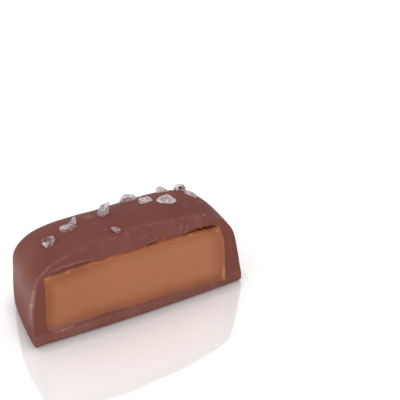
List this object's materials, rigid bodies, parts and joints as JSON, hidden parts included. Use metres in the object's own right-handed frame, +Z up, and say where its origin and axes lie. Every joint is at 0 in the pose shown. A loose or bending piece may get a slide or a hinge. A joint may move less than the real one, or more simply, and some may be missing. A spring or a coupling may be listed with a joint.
{
  "type": "salted caramel candy",
  "caption": "Cut half of a square caramel sweet: a soft caramel slab in a domed milk chocolate coat, with coarse salt grains on top.",
  "frame": {"origin": "middle of the flat base", "axes": "+X along the cut, the cut face looks towards -Y, +Z up"},
  "size_m": [0.0296, 0.0127, 0.0135],
  "materials": {
    "milk_chocolate": "satin milk chocolate",
    "soft_caramel": "smooth cut caramel",
    "sea_salt": "translucent crystals"
  },
  "bodies": {
    "root": {"chocolate_coat": "milk_chocolate", "caramel_filling": "soft_caramel"}
  },
  "joints": []
}
